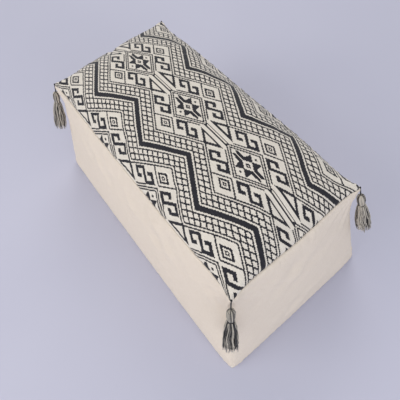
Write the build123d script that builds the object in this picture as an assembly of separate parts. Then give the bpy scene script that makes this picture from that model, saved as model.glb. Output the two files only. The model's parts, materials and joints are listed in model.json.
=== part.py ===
"""Floor cushion: a boxed cover over a lined foam block, with a tassel at each top corner.

Millimetres, +Z up. The origin is the middle of the base, +X runs along the length,
-Y is the front long side and the zip is low in the rear long side.
"""
import math
import os

from build123d import *

# Cover, measured on its outer face
SEAM_HALF_LENGTH = 275.0      # top seam, middle to end
SEAM_HALF_WIDTH = 129.0       # top seam, middle to side
SEAM_HEIGHT = 250.0           # top seam above the floor
BASE_SPREAD = 43.0            # how far the base stands out past the top seam, each way
OUT_OF_SQUARE = 0.06          # the plan leans this much towards -X per unit of +Y
CLOTH = 1.2                   # thickness of the cover cloth
CROWN = ((5.0, 20.0), (18.0, 40.0), (42.0, 54.0), (80.0, 60.0))  # step in from seam, rise above it

# Lining bag and filling, as steps in from the cover's outer face
LINER_GAP = 3.0
LINER_CLOTH = 0.8
FILLING_GAP = 4.4
FOAM_GAP = 9.0
WADDING_BASE_TOP = 13.6
FOAM_BOTTOM = 14.0
FOAM_TOP = 267.0
WADDING_TOP_BOTTOM = 267.4

# Zip in the rear side, sizes along the slope of that side
ZIP_HEIGHT = 44.0             # middle of the chain above the floor
ZIP_OPENING = 12.0            # slot between the two rear cloths
ZIP_HALF_LENGTH = 220.0
TAPE_WIDTH = 15.0
TAPE_THICKNESS = 0.5
TAPE_OVERRUN = 12.0
TAPE_DEPTH = 2.0              # tape's back face behind the cloth's outer face
COIL_WIDTH = 2.3
COIL_THICKNESS = 1.7
COIL_GAP = 0.2
SLIDER_LENGTH = 11.0
SLIDER_HALF_WIDTH = 4.3
SLIDER_WALL = 1.2
SLIDER_CLEARANCE = 0.3
BRIDGE_LENGTH = 6.0
BRIDGE_HEIGHT = 3.4
BRIDGE_WIDTH = 2.4
BRIDGE_HOLE = 1.5
STOP_LENGTH = 3.0
SLIDER_REST = 204.0           # slider's middle from the middle of the zip, closed end
PULL_LENGTH = 24.0
PULL_HALF_WIDTH = 3.2
PULL_THICKNESS = 1.1
PULL_WIRE = 0.55              # half the thickness of the pull's eye where it passes the bridge
PULL_EYE_GAP = 1.6            # from the bridge's end to the pull's tab
PULL_EYE_HALF_WIDTH = 2.2
PULL_CORNER = 2.4
GRIP_SLOT = (6.0, 2.6)        # length and width of the slot near the tab's end
GRIP_SLOT_AT = 5.5            # slot's middle from the tab's end
SLIDER_LIP = 0.4              # side walls stand this far in from the plate's edges
SLIDER_WALL_SHORTER = 3.0     # side walls are this much shorter than the plate
BRIDGE_EYE_EASE = 0.1         # hole's radius is this much less than its height above the plate

# Tassels, measured along their own axis from the corner pivot
EAR_OUT = 10.0                # pivot stands this far out from the seam corner, on the diagonal
EAR_UP = 8.0
TASSEL_TILT = 16.0            # degrees from upright, where the tassel rests on the corner
CORD_RADIUS = 1.0
CORD_LENGTH = 20.0
SWAY_AT = 21.0
HEAD_TOP = 22.5
HEAD_LENGTH = 29.5
BINDING_LENGTH = 5.0
SKIRT_LENGTH = 77.0
HEAD_OUTLINE = ((0.0, 0.0), (3.2, 0.6), (6.0, 4.5), (7.4, 12.0), (7.4, 19.0), (6.2, 29.5))
BINDING_RADIUS = 6.6
SKIRT_OUTLINE = ((6.2, 0.0), (8.8, 9.0), (11.6, 32.0), (13.6, 58.0), (14.2, 77.0))
STITCH_RADIUS = 1.3
STITCH_CLEARANCE = 1.2

FAR = 900.0                   # larger than anything here, for cutting tools
SIDES = {"front": -1, "rear": 1}
ENDS = {"left": -1, "right": 1}


def skewed(x, y, z=0.0):
    """Move a point of the square plan to where the slightly skewed plan has it."""
    return Vector(x - OUT_OF_SQUARE * y, y, z)


def plan(half_length, half_width, z):
    """Return the four-cornered face that the cushion has at one height."""
    corners = [(-1, -1), (1, -1), (1, 1), (-1, 1)]
    points = [skewed(sx * half_length, sy * half_width, z) for sx, sy in corners]
    return Face(Wire.make_polygon(points, close=True))


def outer_levels():
    """Return (half length, half width, height) from the base up to the crown."""
    levels = [
        (SEAM_HALF_LENGTH + BASE_SPREAD, SEAM_HALF_WIDTH + BASE_SPREAD, 0.0),
        (SEAM_HALF_LENGTH, SEAM_HALF_WIDTH, SEAM_HEIGHT),
    ]
    for step_in, rise in CROWN:
        levels.append((SEAM_HALF_LENGTH - step_in, SEAM_HALF_WIDTH - step_in, SEAM_HEIGHT + rise))
    return levels


def body(inset):
    """Return the whole cushion as one solid, this far inside the cover's outer face."""
    levels = [(a - inset, b - inset, z) for a, b, z in outer_levels()]
    raised = [(a, b, z - inset if z > SEAM_HEIGHT else z) for a, b, z in levels]
    return loft([plan(*level) for level in raised], ruled=True)


def slab(low, high):
    """Return a block that spans the whole plan between two heights."""
    return Pos(0, 0, (low + high) / 2) * Box(FAR, FAR, high - low)


def wedge(points):
    """Return an upright block over a plan outline, used to cut a ring at its mitred corners."""
    outline = Face(Wire.make_polygon([skewed(x, y, 0.0) for x, y in points], close=True))
    return extrude(outline, SEAM_HEIGHT + FAR / 2, dir=(0, 0, 1))


def side_wedge(sy):
    """Return the part of the plan that belongs to the front or rear side."""
    ridge = SEAM_HALF_LENGTH - SEAM_HALF_WIDTH
    reach = FAR / 2
    return wedge([(-ridge, 0), (ridge, 0), (ridge + reach, sy * reach), (-ridge - reach, sy * reach)])


def end_wedge(sx):
    """Return the part of the plan that belongs to the left or right end."""
    ridge = SEAM_HALF_LENGTH - SEAM_HALF_WIDTH
    reach = FAR / 2
    return wedge([(sx * ridge, 0), (sx * (ridge + reach), reach), (sx * (ridge + reach), -reach)])


def rear_plane(height):
    """Return a plane on the rear side's outer face: x towards -X, y up the slope, z outwards."""
    share = height / SEAM_HEIGHT
    y = SEAM_HALF_WIDTH + BASE_SPREAD * (1 - share)
    lean = math.atan2(BASE_SPREAD, SEAM_HEIGHT)
    outwards = Vector(0, math.cos(lean), math.sin(lean))
    return Plane(origin=(0, y, height), x_dir=(-1, 0, 0), z_dir=outwards)


def zip_block(x, y_low, y_high, z_low, z_high, length):
    """Return a block in the zip's own frame, centred at x along the zip."""
    block = Box(length, y_high - y_low, z_high - z_low)
    return Pos(x, (y_low + y_high) / 2, (z_low + z_high) / 2) * block


def cover_panels():
    """Return the cover's cloth pieces by node name."""
    skin = body(0.0) - body(CLOTH)
    ring = skin & slab(CLOTH, SEAM_HEIGHT)
    rear = ring & side_wedge(SIDES["rear"])
    zip_frame = rear_plane(ZIP_HEIGHT).location
    below = zip_frame * zip_block(0, -FAR, -ZIP_OPENING / 2, -FAR, FAR, FAR)
    above = zip_frame * zip_block(0, ZIP_OPENING / 2, FAR, -FAR, FAR, FAR)
    between = zip_frame * zip_block(0, -ZIP_OPENING / 2, ZIP_OPENING / 2, -FAR, FAR,
                                    2 * (ZIP_HALF_LENGTH + TAPE_OVERRUN / 2))
    upper_with_ends = rear - below - between
    return {
        "top_panel": skin & slab(SEAM_HEIGHT, FAR),
        "front_panel": ring & side_wedge(SIDES["front"]),
        "left_end_panel": ring & end_wedge(ENDS["left"]),
        "right_end_panel": ring & end_wedge(ENDS["right"]),
        "rear_panel": upper_with_ends,
        "rear_zip_strip": rear - above - between - upper_with_ends,
        "base_panel": body(0.0) & slab(0.0, CLOTH),
    }


def lining_and_filling():
    """Return the lining bag, the foam block and the fibre wadding by node name."""
    lining = body(LINER_GAP) - body(LINER_GAP + LINER_CLOTH)
    floor = CLOTH + SLIDER_CLEARANCE
    seam = SEAM_HEIGHT - LINER_GAP
    filling = body(FILLING_GAP)
    return {
        "liner_top": lining & slab(seam, FAR),
        "liner_boxing": lining & slab(floor + LINER_CLOTH, seam),
        "liner_base": body(LINER_GAP) & slab(floor, floor + LINER_CLOTH),
        "wadding_base": filling & slab(floor + LINER_CLOTH, WADDING_BASE_TOP),
        "foam_core": body(FOAM_GAP) & slab(FOAM_BOTTOM, FOAM_TOP),
        "wadding_top": filling & slab(WADDING_TOP_BOTTOM, FAR),
    }


def zip_chain():
    """Return the zip's tapes, coils and end stops by node name."""
    frame = rear_plane(ZIP_HEIGHT).location
    tape_face = -TAPE_DEPTH + TAPE_THICKNESS
    tape_length = 2 * (ZIP_HALF_LENGTH + TAPE_OVERRUN)
    pieces = {}
    for name, side in (("upper", 1), ("lower", -1)):
        edges = sorted((side * COIL_GAP / 2, side * (COIL_GAP / 2 + TAPE_WIDTH)))
        pieces["zipper_tape_" + name] = frame * zip_block(
            0, edges[0], edges[1], -TAPE_DEPTH, tape_face, tape_length)
        edges = sorted((side * COIL_GAP / 2, side * (COIL_GAP / 2 + COIL_WIDTH)))
        pieces["zipper_coil_" + name] = frame * zip_block(
            0, edges[0], edges[1], tape_face, tape_face + COIL_THICKNESS, 2 * ZIP_HALF_LENGTH)
    stops = []
    for end in (-1, 1):
        middle = end * (ZIP_HALF_LENGTH + STOP_LENGTH / 2)
        reach = COIL_WIDTH + COIL_GAP / 2
        stops.append(frame * zip_block(middle, -reach, reach, tape_face, tape_face + COIL_THICKNESS,
                                       STOP_LENGTH))
    pieces["zipper_end_stops"] = Compound(children=stops)
    return pieces


def slider_floor():
    """Return the height of the slider's plate over the cover's outer face."""
    return -TAPE_DEPTH + TAPE_THICKNESS + COIL_THICKNESS + SLIDER_CLEARANCE


def zipper_slider():
    """Return the slider: a channel over the coils with a bridge for the pull."""
    frame = rear_plane(ZIP_HEIGHT).location
    floor = slider_floor()
    roof = floor + SLIDER_WALL
    foot = -TAPE_DEPTH + TAPE_THICKNESS + SLIDER_CLEARANCE
    inner = COIL_WIDTH + COIL_GAP / 2 + SLIDER_CLEARANCE
    plate = zip_block(SLIDER_REST, -SLIDER_HALF_WIDTH, SLIDER_HALF_WIDTH, floor, roof, SLIDER_LENGTH)
    plate = fillet(plate.edges().filter_by(Axis.Z), SLIDER_WALL)
    near = zip_block(SLIDER_REST, inner, SLIDER_HALF_WIDTH - SLIDER_LIP, foot, floor,
                     SLIDER_LENGTH - SLIDER_WALL_SHORTER)
    far = zip_block(SLIDER_REST, -SLIDER_HALF_WIDTH + SLIDER_LIP, -inner, foot, floor,
                    SLIDER_LENGTH - SLIDER_WALL_SHORTER)
    bridge = zip_block(SLIDER_REST, -BRIDGE_WIDTH / 2, BRIDGE_WIDTH / 2, roof,
                       roof + BRIDGE_HEIGHT, BRIDGE_LENGTH)
    hole = Pos(SLIDER_REST, 0, roof + BRIDGE_HOLE) * Rot(90, 0, 0) * Cylinder(
        BRIDGE_HOLE - BRIDGE_EYE_EASE, BRIDGE_WIDTH * 2)
    return frame * (plate + near + far + bridge - hole)


def zipper_pull():
    """Return the pull tab: a flat tab with a square eye that passes through the bridge."""
    frame = rear_plane(ZIP_HEIGHT).location
    axis_height = slider_floor() + SLIDER_WALL + BRIDGE_HOLE
    reach = BRIDGE_LENGTH / 2 + PULL_EYE_GAP
    tab = Pos(SLIDER_REST - reach - PULL_LENGTH / 2, 0, axis_height) * Box(
        PULL_LENGTH, 2 * PULL_HALF_WIDTH, PULL_THICKNESS)
    tab = fillet(tab.edges().filter_by(Axis.Z), PULL_CORNER)
    grip = Pos(SLIDER_REST - reach - PULL_LENGTH + GRIP_SLOT_AT, 0, axis_height) * Box(
        GRIP_SLOT[0], GRIP_SLOT[1], 2 * PULL_THICKNESS)
    arms = []
    for side in (-1, 1):
        arms.append(Pos(SLIDER_REST - reach / 2, side * PULL_EYE_HALF_WIDTH, axis_height) * Box(
            reach + 2 * PULL_WIRE, 2 * PULL_WIRE, 2 * PULL_WIRE))
    pin = Pos(SLIDER_REST, 0, axis_height) * Box(
        2 * PULL_WIRE, 2 * PULL_EYE_HALF_WIDTH, 2 * PULL_WIRE)
    return frame * (tab - grip + arms[0] + arms[1] + pin)


def corner_frame(sx, sy):
    """Return a tassel's own plane: origin at its pivot, z up along its cord, x on the tangent."""
    diagonal = Vector(sx, sy, 0).normalized()
    seam_corner = skewed(sx * SEAM_HALF_LENGTH, sy * SEAM_HALF_WIDTH, SEAM_HEIGHT)
    pivot = seam_corner + diagonal * EAR_OUT + Vector(0, 0, EAR_UP)
    tilt = math.radians(TASSEL_TILT)
    along = Vector(0, 0, math.cos(tilt)) - diagonal * math.sin(tilt)
    tangent = diagonal.cross(Vector(0, 0, 1))
    return Plane(origin=pivot, x_dir=tangent, z_dir=along)


def turned(outline, start):
    """Return the solid made by turning a (radius, distance down) outline about the axis."""
    points = [(0.0, 0.0, -start - outline[0][1])]
    points += [(radius, 0.0, -start - down) for radius, down in outline if radius > 0]
    points.append((0.0, 0.0, -start - outline[-1][1]))
    return revolve(Face(Wire.make_polygon(points, close=True)), Axis.Z, 360)


def tassel(sx, sy):
    """Return one corner's cord, head, binding and skirt."""
    place = corner_frame(sx, sy).location
    cord = Pos(0, 0, -CORD_LENGTH / 2) * Cylinder(CORD_RADIUS, CORD_LENGTH - 2 * CORD_RADIUS)
    cord += Pos(0, 0, -CORD_RADIUS) * Sphere(CORD_RADIUS)
    cord += Pos(0, 0, -CORD_LENGTH + CORD_RADIUS) * Sphere(CORD_RADIUS)
    binding_top = HEAD_TOP + HEAD_LENGTH
    skirt_top = binding_top + BINDING_LENGTH
    ring = ((BINDING_RADIUS, 0.0), (BINDING_RADIUS, BINDING_LENGTH))
    return {
        "cord": place * cord,
        "head": place * turned(HEAD_OUTLINE, HEAD_TOP),
        "binding": place * turned(ring, binding_top),
        "skirt": place * turned(SKIRT_OUTLINE, skirt_top),
    }


def corner_stitch(sx, sy):
    """Return the sewn tail of one tassel's cord, which stands out of the corner of the cover."""
    pivot = corner_frame(sx, sy).origin
    corner = skewed(sx * SEAM_HALF_LENGTH, sy * SEAM_HALF_WIDTH, SEAM_HEIGHT)
    start = corner + (pivot - corner).normalized() * STITCH_RADIUS
    reach = (pivot - start).length - CORD_RADIUS - STITCH_CLEARANCE
    frame = Plane(origin=start, z_dir=(pivot - start).normalized())
    return frame.location * Pos(0, 0, reach / 2) * Cylinder(STITCH_RADIUS, reach)


def all_nodes():
    """Return every node's shape by name."""
    nodes = {}
    nodes.update(cover_panels())
    nodes.update(lining_and_filling())
    nodes.update(zip_chain())
    nodes["zipper_slider"] = zipper_slider()
    nodes["zipper_pull"] = zipper_pull()
    stitches = []
    for side, sy in SIDES.items():
        for end, sx in ENDS.items():
            stitches.append(corner_stitch(sx, sy))
            for piece, shape in tassel(sx, sy).items():
                nodes["tassel_%s_%s_%s" % (side, end, piece)] = shape
    nodes["corner_stitching"] = Compound(children=stitches)
    return nodes


def main():
    """Write one STEP file per node."""
    os.makedirs("parts", exist_ok=True)
    for name, shape in all_nodes().items():
        export_step(shape, "parts/%s.step" % name)


if __name__ == "__main__":
    main()
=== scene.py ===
"""A long boxed floor cushion: woven patterned top, canvas sides, rear zip, four corner tassels."""

import json
import logging
import math
from dataclasses import dataclass, field
from enum import Enum
from typing import Any, Callable, Sequence

import bmesh
import bpy
import numpy as np
from mathutils import Matrix, Vector


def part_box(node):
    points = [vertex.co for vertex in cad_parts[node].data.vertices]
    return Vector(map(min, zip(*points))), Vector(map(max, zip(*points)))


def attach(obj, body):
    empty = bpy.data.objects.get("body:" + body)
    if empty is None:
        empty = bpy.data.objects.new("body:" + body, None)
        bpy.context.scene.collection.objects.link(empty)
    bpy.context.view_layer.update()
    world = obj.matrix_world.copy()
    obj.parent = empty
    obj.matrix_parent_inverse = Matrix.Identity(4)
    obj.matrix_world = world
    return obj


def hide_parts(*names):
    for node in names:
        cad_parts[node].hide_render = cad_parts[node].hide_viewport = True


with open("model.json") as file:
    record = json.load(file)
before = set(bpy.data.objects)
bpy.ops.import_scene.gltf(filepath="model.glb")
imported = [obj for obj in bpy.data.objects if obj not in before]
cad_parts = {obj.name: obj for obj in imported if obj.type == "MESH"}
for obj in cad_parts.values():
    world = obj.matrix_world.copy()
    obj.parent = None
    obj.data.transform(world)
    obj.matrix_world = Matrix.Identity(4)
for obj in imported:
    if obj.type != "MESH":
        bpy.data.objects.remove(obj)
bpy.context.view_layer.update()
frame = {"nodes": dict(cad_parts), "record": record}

MM = 0.001
TURN = 2.0 * math.pi
log = logging.getLogger("floor_cushion")


class Side(Enum):
    """The six faces of the cushion, each with its outward direction."""

    TOP = (0, 0, 1)
    BASE = (0, 0, -1)
    FRONT = (0, -1, 0)
    REAR = (0, 1, 0)
    LEFT = (-1, 0, 0)
    RIGHT = (1, 0, 0)


class Corner(Enum):
    """The four top corners, as (towards the right, towards the rear)."""

    FRONT_LEFT = (-1, -1)
    FRONT_RIGHT = (1, -1)
    REAR_LEFT = (-1, 1)
    REAR_RIGHT = (1, 1)

    @property
    def tassel(self) -> str:
        """Return the name that this corner's bodies, joints and nodes begin with."""
        return "tassel_" + self.name.lower()


# ---------------------------------------------------------------------------------------------
# Small tools
# ---------------------------------------------------------------------------------------------


def linear(hex_colour: str) -> tuple[float, float, float, float]:
    """Turn an sRGB hex colour such as "#2e2c2a" into a linear RGBA tuple.

    Args:
        hex_colour: the colour, with its leading #.

    Returns:
        Linear red, green and blue, and an alpha of one.
    """
    parts = [int(hex_colour[k:k + 2], 16) / 255 for k in (1, 3, 5)]
    red, green, blue = [c / 12.92 if c <= 0.04045 else ((c + 0.055) / 1.055) ** 2.4 for c in parts]
    return red, green, blue, 1.0


def add_node(material: bpy.types.Material, kind: str, inputs: dict[Any, Any] | None = None,
             **settings: Any) -> bpy.types.Node:
    """Add a shader node with its settings and its input values or links.

    Args:
        material: the material whose tree gets the node.
        kind: the node's type name.
        inputs: socket name or index to a plain value, or to an output socket to link from.
        settings: attributes set on the node before its inputs.

    Returns:
        The new node.
    """
    tree = material.node_tree
    node = tree.nodes.new(kind)
    for key, value in settings.items():
        setattr(node, key, value)
    for key, value in (inputs or {}).items():
        if isinstance(value, bpy.types.NodeSocket):
            tree.links.new(value, node.inputs[key])
        else:
            node.inputs[key].default_value = value
    return node


def new_material(name: str, **surface: Any) -> tuple[bpy.types.Material, bpy.types.Node]:
    """Start a material whose Principled shader has these plain values.

    Args:
        name: the material's name.
        surface: Principled socket name, with _ for a space, to its value.

    Returns:
        The material and its Principled node.
    """
    material = bpy.data.materials.new(name)
    material.use_nodes = True
    shader = material.node_tree.nodes["Principled BSDF"]
    for key, value in surface.items():
        shader.inputs[key.replace("_", " ")].default_value = value
    return material, shader


def link_in(material: bpy.types.Material, source: bpy.types.NodeSocket,
            target: bpy.types.NodeSocket) -> None:
    """Link one socket to another."""
    material.node_tree.links.new(source, target)


def ramp_stops(node: bpy.types.Node, stops: Sequence[tuple[float, str]]) -> None:
    """Give a Color Ramp node its (place, hex colour) stops.

    Args:
        node: the Color Ramp node.
        stops: each stop's place and colour.
    """
    elements = node.color_ramp.elements
    while len(elements) < len(stops):
        elements.new(0.5)
    for element, (place, colour) in zip(elements, stops):
        element.position = place
        element.color = linear(colour)


def new_piece(name: str, bm: bmesh.types.BMesh, material: bpy.types.Material,
              smooth: bool = True) -> bpy.types.Object:
    """Turn a finished bmesh into an object at the origin with one material.

    Args:
        name: the piece's name.
        bm: the mesh in the row frame; it is freed.
        material: its finish.
        smooth: whether its faces are shaded smooth.

    Returns:
        The new object, linked to the scene.
    """
    mesh = bpy.data.meshes.new(name)
    bm.to_mesh(mesh)
    bm.free()
    mesh.polygons.foreach_set("use_smooth", [smooth] * len(mesh.polygons))
    mesh.materials.append(material)
    piece = bpy.data.objects.new(name, mesh)
    bpy.context.scene.collection.objects.link(piece)
    return piece


def settle(piece: bpy.types.Object, body: str, slot: str, *nodes: str) -> bpy.types.Object:
    """Ride a piece on a body and hide the CAD nodes that it stands for.

    Args:
        piece: the piece.
        body: the CAD body that it rides on.
        slot: its material slot in the record; not used.
        nodes: the CAD nodes that it replaces.

    Returns:
        The same piece.
    """
    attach(piece, body)
    if nodes:
        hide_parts(*nodes)
    return piece


def dress_node(node: str, material: bpy.types.Material) -> None:
    """Give a carried-over CAD node its finish.

    Args:
        node: the CAD node's name.
        material: its finish.
    """
    mesh = frame["nodes"][node].data
    mesh.materials.clear()
    mesh.materials.append(material)


def resampled(points: np.ndarray, at: np.ndarray) -> np.ndarray:
    """Read a smooth curve through points at fractional places along their first axis.

    Args:
        points: an array whose first axis runs along the curve.
        at: places from 0 to the last index; one for all rows, or one row of places for each
            entry of the second axis.

    Returns:
        The curve's values, with at's length as the first axis.
    """
    ghost = np.concatenate([2 * points[:1] - points[1:2], points, 2 * points[-1:] - points[-2:-1]])
    base = np.clip(np.floor(at).astype(int), 0, len(points) - 2)
    t = at - base
    if at.ndim == 1:
        shape = (len(at),) + (1,) * (points.ndim - 1)
        p = [ghost[base + k] for k in range(4)]
    else:
        shape = at.shape + (1,) * (points.ndim - 2)
        columns = np.arange(points.shape[1])[None, :]
        p = [ghost[base + k, columns] for k in range(4)]
    t = t.reshape(shape)
    return 0.5 * (2 * p[1] + (p[2] - p[0]) * t + (2 * p[0] - 5 * p[1] + 4 * p[2] - p[3]) * t ** 2
                  + (3 * p[1] - p[0] - 3 * p[2] + p[3]) * t ** 3)


def ripple(along: np.ndarray, wavelength: float, seed: int) -> np.ndarray:
    """Return an uneven wave of about unit height along a line.

    Args:
        along: distance along the line.
        wavelength: the middle wavelength, in the same unit.
        seed: which wave.

    Returns:
        The wave's height at each place.
    """
    rng = np.random.default_rng(seed)
    total = np.zeros_like(along)
    for scale in (0.62, 0.87, 1.13, 1.7):
        total = total + np.sin(TURN * along / (wavelength * scale) + rng.uniform(0, TURN))
    return total / 2.2


def tube_along(bm: bmesh.types.BMesh, path: np.ndarray, radius: Sequence[float] | float,
               sides: int) -> list[bmesh.types.BMVert]:
    """Add a closed round tube that follows a path.

    Args:
        bm: the mesh that gets it.
        path: the centre line's points.
        radius: one radius, or one for each point of the path.
        sides: how many faces go round it.

    Returns:
        The tube's vertices.
    """
    count, before = len(path) - 1, len(bm.verts)
    rim = bmesh.ops.create_cone(bm, cap_ends=True, segments=sides, radius1=1.0, radius2=1.0,
                                depth=2.0)["verts"]
    rods = {e for v in rim for e in v.link_edges
            if abs(e.verts[0].co.z - e.verts[1].co.z) > 1.0}
    if count > 1:
        bmesh.ops.subdivide_edges(bm, edges=list(rods), cuts=count - 1)
    bm.verts.ensure_lookup_table()
    made = bm.verts[before:]
    tangents = np.gradient(path, axis=0)
    tangents /= np.linalg.norm(tangents, axis=1)[:, None]
    first = np.cross(tangents[0], (0.31, 0.87, 0.38))
    normals = [first / np.linalg.norm(first)]
    for tangent in tangents[1:]:
        turned = normals[-1] - tangent * np.dot(normals[-1], tangent)
        normals.append(turned / np.linalg.norm(turned))
    radii = np.broadcast_to(np.asarray(radius, float), (len(path),))
    for vert in made:
        step = int(round((vert.co.z + 1.0) / 2.0 * count))
        side_way = np.cross(tangents[step], normals[step])
        place = path[step] + radii[step] * (vert.co.x * normals[step] + vert.co.y * side_way)
        vert.co = Vector(place)
    return made


# ---------------------------------------------------------------------------------------------
# Finishes
# ---------------------------------------------------------------------------------------------


@dataclass(frozen=True)
class PatternedCloth:
    """Jacquard woven cotton and wool, ribbed along its length, in charcoal and cream.

    The thick ribs give fine parallel furrows, each pick shows as a short step on a diagonal,
    and the yarns vary a little in tone, so that neither colour is flat.
    """

    rib_mm: float = 2.4
    pick_mm: float = 1.2
    charcoal: str = "#1e1e24"
    charcoal_faded: str = "#34333a"
    cream: str = "#dcd3c8"
    cream_light: str = "#ece5da"
    attribute: str = "weave_yarn"

    def material(self) -> bpy.types.Material:
        """Return the woven top's material, which reads the draft and the cloth's own UV.

        Returns:
            The material.
        """
        mat, shader = new_material("jacquard_weave", Roughness=0.88, Specular_IOR_Level=0.22,
                                   Sheen_Weight=0.18, Sheen_Roughness=0.45)
        uv = add_node(mat, "ShaderNodeUVMap", uv_map="cloth").outputs[0]
        draft = add_node(mat, "ShaderNodeAttribute", attribute_name=self.attribute)
        threads = add_node(mat, "ShaderNodeMapping", {
            "Vector": uv, "Scale": (60.0, 1000.0 / self.rib_mm, 1.0)})
        tone = add_node(mat, "ShaderNodeTexNoise", {"Vector": threads.outputs[0], "Scale": 1.0,
                                                    "Detail": 3.0, "Roughness": 0.7})
        dark = add_node(mat, "ShaderNodeValToRGB", {"Fac": tone.outputs["Fac"]})
        ramp_stops(dark, ((0.3, self.charcoal), (0.75, self.charcoal_faded)))
        light = add_node(mat, "ShaderNodeValToRGB", {"Fac": tone.outputs["Fac"]})
        ramp_stops(light, ((0.3, self.cream), (0.7, self.cream_light)))
        mixed = add_node(mat, "ShaderNodeMix", {"Factor": draft.outputs["Fac"], 6: dark.outputs[0],
                                                7: light.outputs[0]}, data_type="RGBA")
        link_in(mat, mixed.outputs[2], shader.inputs["Base Color"])
        parts = add_node(mat, "ShaderNodeSeparateXYZ", {0: uv})
        rib = self.wave(mat, parts.outputs[1], self.rib_mm)
        pick = self.wave(mat, parts.outputs[0], self.pick_mm)
        relief = add_node(mat, "ShaderNodeMath", {0: pick, 1: 0.35, 2: rib}, operation="MULTIPLY_ADD")
        raised = add_node(mat, "ShaderNodeMath", {0: draft.outputs["Fac"], 1: 0.5,
                                                  2: relief.outputs[0]}, operation="MULTIPLY_ADD")
        bump = add_node(mat, "ShaderNodeBump", {"Height": raised.outputs[0], "Strength": 0.55,
                                                "Distance": 0.0005})
        link_in(mat, bump.outputs[0], shader.inputs["Normal"])
        return mat

    @staticmethod
    def wave(mat: bpy.types.Material, place: bpy.types.NodeSocket,
             pitch_mm: float) -> bpy.types.NodeSocket:
        """Return a round furrow profile that repeats each pitch along one UV direction.

        Args:
            mat: the material that holds the nodes.
            place: the coordinate, in metres.
            pitch_mm: the distance from one furrow to the next.

        Returns:
            The profile's socket, from 0 to 1.
        """
        phase = add_node(mat, "ShaderNodeMath", {0: place, 1: math.pi * 1000.0 / pitch_mm},
                         operation="MULTIPLY")
        swing = add_node(mat, "ShaderNodeMath", {0: phase.outputs[0]}, operation="SINE")
        return add_node(mat, "ShaderNodeMath", {0: swing.outputs[0]}, operation="ABSOLUTE").outputs[0]


@dataclass(frozen=True)
class WovenPlain:
    """A plain weave in one colour: threads over and under, with slubs and painted shade in the furrows.

    thread_mm is the drawn thread spacing. Real canvas has threads 0.5 to 0.6 mm apart, which
    is too fine to show, so they are drawn at about twice that.
    """

    name: str
    colour: str
    # the colour of the painted shade in the furrows between threads
    furrow_shade: str
    thread_mm: float = 1.0
    relief: float = 0.45
    roughness: float = 0.9
    sheen: float = 0.15
    slub_mm: float = 14.0
    uses_uv: bool = True

    def material(self) -> bpy.types.Material:
        """Return the cloth's material.

        Returns:
            The material.
        """
        mat, shader = new_material(self.name, Roughness=self.roughness, Specular_IOR_Level=0.2,
                                   Sheen_Weight=self.sheen, Sheen_Roughness=0.5)
        if self.uses_uv:
            place = add_node(mat, "ShaderNodeUVMap", uv_map="cloth").outputs[0]
        else:
            place = add_node(mat, "ShaderNodeTexCoord").outputs["Object"]
        parts = add_node(mat, "ShaderNodeSeparateXYZ", {0: place})
        heights = []
        for low, high in ((0, 1), (1, 0)) if self.uses_uv else ((0, 2), (2, 0)):
            long_way = add_node(mat, "ShaderNodeMapping", {
                "Vector": place, "Scale": tuple(1000.0 / (self.slub_mm if k == low else self.thread_mm)
                                                for k in range(3))})
            slub = add_node(mat, "ShaderNodeTexNoise", {"Vector": long_way.outputs[0], "Scale": 1.0,
                                                        "Detail": 2.0, "Roughness": 0.6})
            phase = add_node(mat, "ShaderNodeMath", {
                0: parts.outputs[high], 1: math.pi * 1000.0 / self.thread_mm}, operation="MULTIPLY")
            swing = add_node(mat, "ShaderNodeMath", {0: phase.outputs[0]}, operation="SINE")
            thread = add_node(mat, "ShaderNodeMath", {0: swing.outputs[0]}, operation="ABSOLUTE")
            heights.append(add_node(mat, "ShaderNodeMath", {0: thread.outputs[0], 1: 0.5,
                                                            2: slub.outputs["Fac"]},
                                    operation="MULTIPLY_ADD").outputs[0])
        weave = add_node(mat, "ShaderNodeMath", {0: heights[0], 1: heights[1]}, operation="ADD")
        shade = add_node(mat, "ShaderNodeMapRange", {"Value": weave.outputs[0], "From Min": 0.9,
                                                     "From Max": 1.9})
        colour = add_node(mat, "ShaderNodeValToRGB", {"Fac": shade.outputs[0]})
        # painted shade: the ramp follows the weave's height, so the furrows between threads take the
        # darker colour; the slub noise adds a random change of tone
        ramp_stops(colour, ((0.0, self.furrow_shade), (0.8, self.colour)))
        link_in(mat, colour.outputs[0], shader.inputs["Base Color"])
        bump = add_node(mat, "ShaderNodeBump", {"Height": weave.outputs[0], "Strength": self.relief,
                                                "Distance": 0.0004})
        link_in(mat, bump.outputs[0], shader.inputs["Normal"])
        return mat


@dataclass(frozen=True)
class CellFoam:
    """Open cell upholstery foam, cut by a blade: matt, with pores about a millimetre wide, darkened with
    painted shade.
    """

    pore_mm: float = 1.1
    body: str = "#e9e0b8"
    # the colour of the painted shade inside each pore
    pore_shade: str = "#cfc391"

    def material(self) -> bpy.types.Material:
        """Return the foam's material.

        Returns:
            The material.
        """
        mat, shader = new_material("cut_foam", Roughness=0.95, Specular_IOR_Level=0.15)
        place = add_node(mat, "ShaderNodeTexCoord").outputs["Object"]
        pores = add_node(mat, "ShaderNodeTexVoronoi", {"Vector": place, "Scale": 1000.0 / self.pore_mm})
        colour = add_node(mat, "ShaderNodeValToRGB", {"Fac": pores.outputs["Distance"]})
        # painted shade: the pores, the low points of the bump, take the darker colour
        ramp_stops(colour, ((0.1, self.pore_shade), (0.5, self.body)))
        link_in(mat, colour.outputs[0], shader.inputs["Base Color"])
        bump = add_node(mat, "ShaderNodeBump", {"Height": pores.outputs["Distance"], "Strength": 0.6,
                                                "Distance": 0.0005})
        link_in(mat, bump.outputs[0], shader.inputs["Normal"])
        return mat


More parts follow.
